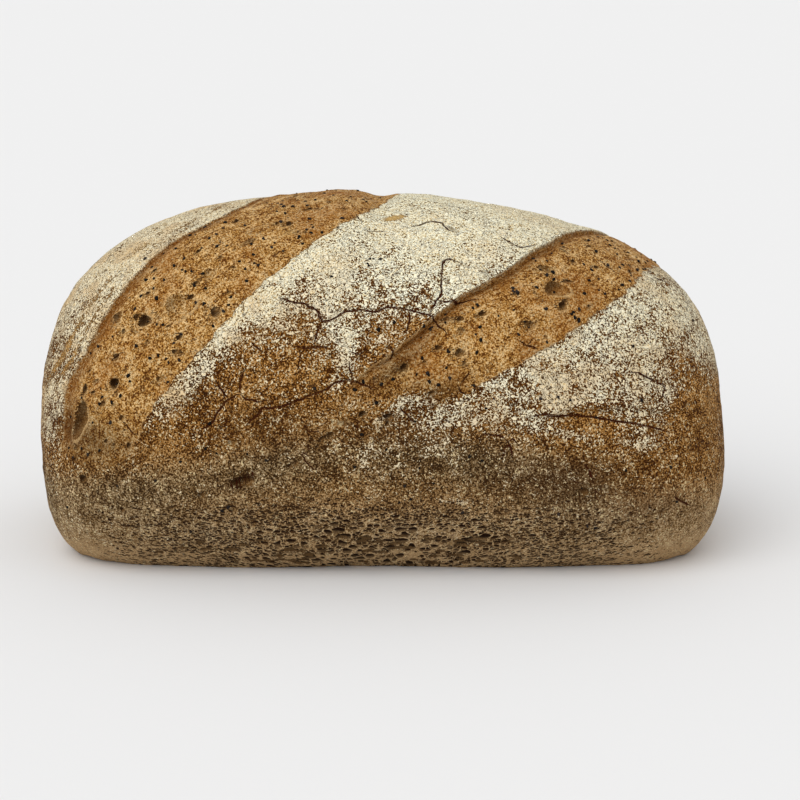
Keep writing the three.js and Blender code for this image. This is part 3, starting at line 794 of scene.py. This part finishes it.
def pitted(at, crust, bloom):
    """The crust with its pits: painted shade on their floors, more where they are steep, a painted
    shadow under the upper left edge, and in the blooms a pale rim, brighter on its lower right as a
    painted highlight. Also gives how deep they are sunk."""
    right, up, steep = at.wire.field("pits").parts()
    radius = (right * right + up * up) ** 0.5 + at.fine * 0.2 + at.speck * 0.15
    facing = right * 0.8 - up * 0.6
    deep = steep.ease(0.14, 0.55)
    shadow = 1 - (facing - deep * 0.4).ease(-0.85, 0.4)
    inner = 1 - radius.ease(0.84, 1.0)
    ring = radius.ease(0.98, 1.06) * (1 - radius.ease(1.12, 1.32)) * bloom
    # A pale rim, brighter on the side facing the key light as a painted highlight.
    crust = crust.into(PIT_RIM_AND_HIGHLIGHT, ring * (facing.ease(-0.3, 0.9) * 0.45 + 0.1))
    # Painted shade on the pit's floor, more the steeper the pit.
    crust = crust.into(PIT_FLOOR_SHADE, inner * (deep * 0.5 + 0.1))
    return crust.into(PIT_SHADOW, inner * shadow * (deep * 0.45 + 0.45)), inner * 0.3


def foamed(at, crust):
    """The crust with the rim's bubbles and wide pores, their floors darker as painted shade and with a
    painted shadow at their tops: a bubble is a lens round its cell's middle, cut off by the cell's
    walls. Also gives how deep they are sunk."""
    right, up, foam = at.wire.field("pores").parts()
    cell = at.wire.field("rim").stretched(1 / 1.4, 1, 1).shaken(2.2, 0.5)
    gaps = taken = foam * 0
    for size, begins, most, share, floor in FOAM_BUBBLES:
        luck, breadth, _ = cell.cells(size, "F1", "Color").parts()
        _, above, _ = (cell - cell.cells(size, "F1", "Position")).parts()
        opened = (foam.ease(begins, most) * share - luck).ease(-0.02, 0.02)
        lens = 1 - (cell.cells(size, "F1") - breadth * 0.3).ease(0.34, 0.44)
        gap = cell.cells(size, "DISTANCE_TO_EDGE").ease(0.04, 0.12) * lens * opened * (1 - taken)
        # Painted shade: the bubble's floor, darker than the crust round it.
        crust = crust.into(floor, gap * 0.85)
        crust = crust.into(FOAM_SHADOW, gap * above.ease(-0.34 * size, 0.2 * size))
        gaps = gaps.at_least(gap)
        taken = taken.at_least(opened)
    pore = 1 - ((right * right + up * up) ** 0.5 + at.speck * 0.4).ease(0.84, 0.98)
    # Painted shade: the pore's floor is darkened.
    crust = crust.into(PORE_FLOOR_SHADE, pore * 0.9)
    return crust.into(PORE_SHADOW, pore * up.ease(-0.3, 0.7) * 0.9), pore * 0.4 + gaps * 0.5


def cracked(at, crust):
    """The crust with its cracks, each a line that thins to its ends. Also gives how deep they are."""
    depth = at.fine * 0
    for number in range(len(CRACKS) + 1):
        side, room, _ = at.wire.field(f"crack_{number}").parts()
        line = 1 - (side.size() + at.fine * 0.12).ease(room * 0.4, room + 0.02)
        line = line * room.ease(0.01, 0.08) * ((at.speck + at.clump).ease(-0.14, 0.02) * 0.25 + 0.75)
        crust = crust.into(CRACK, line)
        depth = depth + line * 0.5
    return crust, depth


def crust_material():
    """Matt baked crust. Its colour and bump follow the fields that store_fields stores."""
    material, wire, shader = new_material("baked_crust")
    at = CrustGrain(wire)
    flour, grey, rim = wire.field("dusting").parts()
    inside, opened, ear = wire.field("bloom").parts()
    bloom = inside.ease(-0.4, -0.1) * opened.ease(0.15, 0.6)
    crumb, fibres = torn_crumb(at, inside, ear)
    crust = plain_crust(at, grey, rim).into(crumb, bloom)
    crust, cover = floured(at, crust, flour, bloom)
    crust, pit_depth = pitted(at, crust, bloom)
    crust, foam_depth = foamed(at, crust)
    crust, crack_depth = cracked(at, crust)
    height = at.flake * 1.6 + at.speck * 0.6 + at.fine * 0.3 + at.clump * 0.5 + cover * 0.1 \
        + fibres * bloom * 0.4 - pit_depth - foam_depth - crack_depth
    bump = wire.node("Bump", {}, {"Strength": 1.0, "Distance": 0.001, "Height": height})
    rough = cover * 0.15 - bloom * 0.1 + at.speck * 0.3 + 0.8
    feed(shader, {"Base Color": crust, "Normal": bump, "Roughness": rough, "Specular IOR Level": 0.06})
    return material


GREY_BAND = [(-100, -20), (-80, -17), (-57, -13), (-30, -7), (0, -5), (37, -6), (60, -13), (80, -16)]
RIM_RADIUS = 92             # of a circle about as long as the loaf's outline


def store_fields(loaf, x, angle, points, fields):
    """Stores on the loaf's mesh, three numbers to a point, what its material reads."""
    front = level_angle(x, angle, points[..., 2])
    front = np.where(front > 90, 180 - front, front)
    rim = 1 - ease(front, -29, -12)
    band = np.interp(x, *np.array(GREY_BAND).T)
    greyness = bell(front, band, np.where(front > band, 7, 14)) * (1 - ease(x, 62, 84))
    greyness = greyness * (0.85 + 0.2 * waves(points, 12, 33))
    # ear: painted shade in the furrow under each ear, partly darker crust there.
    ear = bell(fields["from_ear"], 0.4, 3.4) * fields["open"] * (fields["from_ear"] > 0)
    # Toasted patches, partly painted shade, and painted shade growing towards the underside.
    toast_and_shade = patches(x, angle, TOAST_AND_SHADE_PATCHES) + 0.14 * (1 - ease(front, -25, 22)) * (1 - 0.6 * rim)
    bare = patches(x, angle, BARE_PATCHES) + 0.28 * bare_streaks(x, angle, fields)
    cream = np.clip(np.abs(x - 12) / 80, 0, 1) * (1 - 0.3 * ease(x, 0, 60))
    cream = cream + 0.3 * (1 - ease(front, 10, 40))
    around = np.unwrap(np.arctan2(points[..., 1] / HALF_WIDTH, points[..., 0] / HALF_LENGTH), axis=1)
    stored = {
        "dusting": (flour_amount(x, angle, points, fields), greyness * 0.9, rim),
        "bloom": (fields["inside"], fields["open"], ear),
        "grain": (angle * MM_PER_DEGREE, fields["from_ear"], 0 * x),
        "tone": (toast_and_shade, bare, cream),
        "rim": (around * RIM_RADIUS, points[..., 2], 0 * x),
    }
    stored.update((name, values) for name, values in fields.items() if type(values) is tuple)
    for name, values in stored.items():
        grid = np.stack(values, axis=-1)
        ends = grid[0, [0, -1]]
        add_field(loaf, name, np.concatenate([grid.reshape(-1, 3), ends]))


def bake_loaf():
    """The crust's grid of rings and columns, moved out by its relief, flat at the base, closed by
    a fan of triangles at each end, with the fields that its material reads."""
    rings = ring_angles()
    x = ring_columns(rings)
    rows, columns = x.shape
    angle = np.repeat(rings[:, None], columns, axis=1)
    angle = np.where(angle > 270, angle - 360, angle)
    points, normals, relief, fields = crust_relief(x, angle)
    surface = points + normals * relief[..., None]
    surface[..., 2] = np.maximum(surface[..., 2], 0)
    tips = dome(np.array([-HALF_LENGTH, HALF_LENGTH], float), np.zeros(2))
    number = np.arange(rows * columns).reshape(rows, columns)
    after = np.roll(number, -1, axis=0)
    quads = np.stack([number[:, :-1], number[:, 1:], after[:, 1:], after[:, :-1]], axis=-1).reshape(-1, 4)
    left, right = rows * columns, rows * columns + 1
    fans = [(left, a, b) for a, b in zip(number[:, 0].tolist(), after[:, 0].tolist())]
    fans += [(right, b, a) for a, b in zip(number[:, -1].tolist(), after[:, -1].tolist())]
    skin = np.concatenate([surface.reshape(-1, 3), tips])
    loaf = new_piece("loaf_crust", skin, quads.tolist() + fans, crust_material())
    store_fields(loaf, x, angle, points, fields)
    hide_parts("loaf")
    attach(loaf, "root")


bake_loaf()

# ================================================================ poppy seeds
# Black poppy seeds from the dough, 0.95 to 1.65 mm long and kidney-shaped, baked half into the
# crust: many where the blooms tore open, some along the lower sides, few where flour lies.

SEED_LENGTHS = (0.95, 1.65)
SEED_LIFTS = (-0.2, 0.06)   # of a seed's middle above the crust, in its own lengths
SEED_SHADES = [(0.1, (6, 3, 1)), (0.6, (18, 12, 9)), (1, (46, 38, 34))]
SEED_CLUSTERS = [(-3, 49.5), (14.5, 29), (62, 34.5)]
CLUSTER_SIZE = 5
SCATTER_COUNT = 5200


def seed_places():
    """(x, angle) of every seed: golden-angle steps round the loaf, random places along it, kept by
    the chance that its part of the crust gives, and three small clusters at given places."""
    dice = np.random.default_rng(7)
    angle = (np.arange(SCATTER_COUNT) * 137.508) % 232 - 30
    x = dice.uniform(-106, 106, SCATTER_COUNT)
    chance = np.where(angle > 14, 0.008, 0.06)
    for bloom in (LEFT_BLOOM, RIGHT_BLOOM):
        ear, foot = bloom_edges(bloom, angle)
        chance = np.where((x > ear + 1.5) & (x < foot - 1) & (openness(bloom, angle) > 0.2), 0.25, chance)
    kept = dice.random(SCATTER_COUNT) < chance * (1 - 0.6 * bell(angle, 92, 16))
    middles = np.repeat(np.array(SEED_CLUSTERS), CLUSTER_SIZE, axis=0)
    middles = middles + dice.normal(0, 1.1, middles.shape)
    return np.concatenate([np.stack([x[kept], angle[kept]], axis=-1), middles])


def seed_material():
    """Poppy seed coats: warm black, each seed its own shade, finely pitted and nearly matt."""
    material, wire, shader = new_material("poppy_seed_coat")
    shade, _, _ = wire.field("shade").parts()
    pitted_coat = wire.place().noise(0.25, 1, 0.5)
    colour = (shade * 0.8 + pitted_coat * 0.3).shades(SEED_SHADES)
    bump = wire.node("Bump", {}, {"Strength": 0.6, "Distance": 0.0001, "Height": pitted_coat})
    feed(shader, {"Base Color": colour, "Normal": bump, "Roughness": 0.55, "Specular IOR Level": 0.1})
    return material


def bury_seeds(shape, faces, places):
    """One joined mesh of every seed, each turned and tilted at random, scaled to its own length and
    sunk by its own lift. The shape is one unit long."""
    dice = np.random.default_rng(8)
    points, normals, relief, _ = crust_relief(places[:, 0], places[:, 1])
    count = len(places)
    spin = dice.uniform(0, math.tau, count)
    first = unit(np.cross(normals, [0.3, 0.2, 0.93]))
    second = np.cross(normals, first)
    along = unit(first * np.cos(spin)[:, None] + second * np.sin(spin)[:, None]
                 + normals * dice.normal(0, 0.3, (count, 1)))
    beside = unit(np.cross(normals, along))
    basis = np.stack([along, beside, np.cross(along, beside)], axis=1)
    size = dice.uniform(*SEED_LENGTHS, count)
    seats = points + normals * (relief + dice.uniform(*SEED_LIFTS, count) * size)[:, None]
    placed = seats[:, None] + (shape @ basis) * size[:, None, None]
    numbers = faces[None] + (np.arange(count) * len(shape))[:, None, None]
    corners = [list(dict.fromkeys(face)) for face in numbers.reshape(-1, 4).tolist()]
    seeds = new_piece("poppy_seeds", placed.reshape(-1, 3), corners, seed_material())
    shade = dice.random((count, 1))
    add_field(seeds, "shade", np.repeat(shade, len(shape), axis=0) * np.ones(3))
    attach(seeds, "root")


def kidney(around, rings):
    """A seed one unit long: circles whose radius is sin(t)^0.8 along its length, flattened, and
    bent like a kidney by pushing it sideways as the square of the distance from its middle."""
    t = np.linspace(0, math.pi, rings + 2)[1:-1, None]
    turn = np.linspace(0, math.tau, around, endpoint=False)[None]
    radius = np.sin(t) ** 0.8
    length = -np.cos(t) * 0.5
    width = 0.38 * radius * np.cos(turn) + 0.5 * (length ** 2)
    grid = np.stack([length + 0 * turn, width, 0.34 * radius * np.sin(turn)], axis=-1).reshape(-1, 3)
    tips = np.array([[-0.5, 0.125, 0], [0.5, 0.125, 0]])
    number = np.arange(rings * around).reshape(rings, around)
    beside = np.roll(number, -1, axis=1)
    sides = np.stack([number[:-1], number[1:], beside[1:], beside[:-1]], axis=-1).reshape(-1, 4)
    first, last = rings * around, rings * around + 1
    start = np.stack([np.full(around, first), number[0], beside[0], beside[0]], axis=-1)
    end = np.stack([np.full(around, last), beside[-1], number[-1], number[-1]], axis=-1)
    return np.concatenate([grid, tips]), np.concatenate([sides, start, end])


bury_seeds(*kidney(7, 4), seed_places())

# ================================================================ the setting
# A plain pale floor, soft even light from above and a stronger soft light from the upper left.

FLOOR_CORNERS = [(-6, -6, 0), (6, -6, 0), (6, 6, 0), (-6, 6, 0)]      # metres
floor_mesh = bpy.data.meshes.new("floor")
floor_mesh.from_pydata(FLOOR_CORNERS, [], [(0, 1, 2, 3)])
floor = bpy.data.objects.new("floor", floor_mesh)
bpy.context.scene.collection.objects.link(floor)
floor_material, _, floor_shader = new_material("pale_floor")
feed(floor_shader, {"Base Color": (0.81, 0.81, 0.81, 1), "Roughness": 0.9, "Specular IOR Level": 0.1})
floor_mesh.materials.append(floor_material)

world = bpy.data.worlds.new("studio")
world.use_nodes = True
feed(world.node_tree.nodes["Background"], {"Color": (0.76, 0.76, 0.76, 1), "Strength": 1.0})
bpy.context.scene.world = world

key_light = bpy.data.lights.new("key_light", "SUN")
key_light.energy = 1.45
key_light.angle = math.radians(60)
key_lamp = bpy.data.objects.new("key_light", key_light)
key_lamp.rotation_euler = Vector((0.4, 0.65, -0.75)).to_track_quat("-Z", "Y").to_euler()
bpy.context.scene.collection.objects.link(key_lamp)

# The camera: 760 mm from the loaf, looking along +Y and 12 degrees down.
CAMERA_DISTANCE = 0.760
CAMERA_TILT = math.radians(12)
AIM_HEIGHT = 0.055
camera_data = bpy.data.cameras.new("camera")
camera_data.lens = 98.67
camera_data.sensor_width = 36
camera_data.shift_x = 0.02225
camera_data.shift_y = -0.02875
camera = bpy.data.objects.new("camera", camera_data)
camera.location = (0, -CAMERA_DISTANCE * math.cos(CAMERA_TILT),
                   AIM_HEIGHT + CAMERA_DISTANCE * math.sin(CAMERA_TILT))
camera.rotation_euler = (math.radians(90) - CAMERA_TILT, 0, 0)
bpy.context.scene.collection.objects.link(camera)
bpy.context.scene.camera = camera
bpy.context.scene.view_settings.view_transform = "Standard"
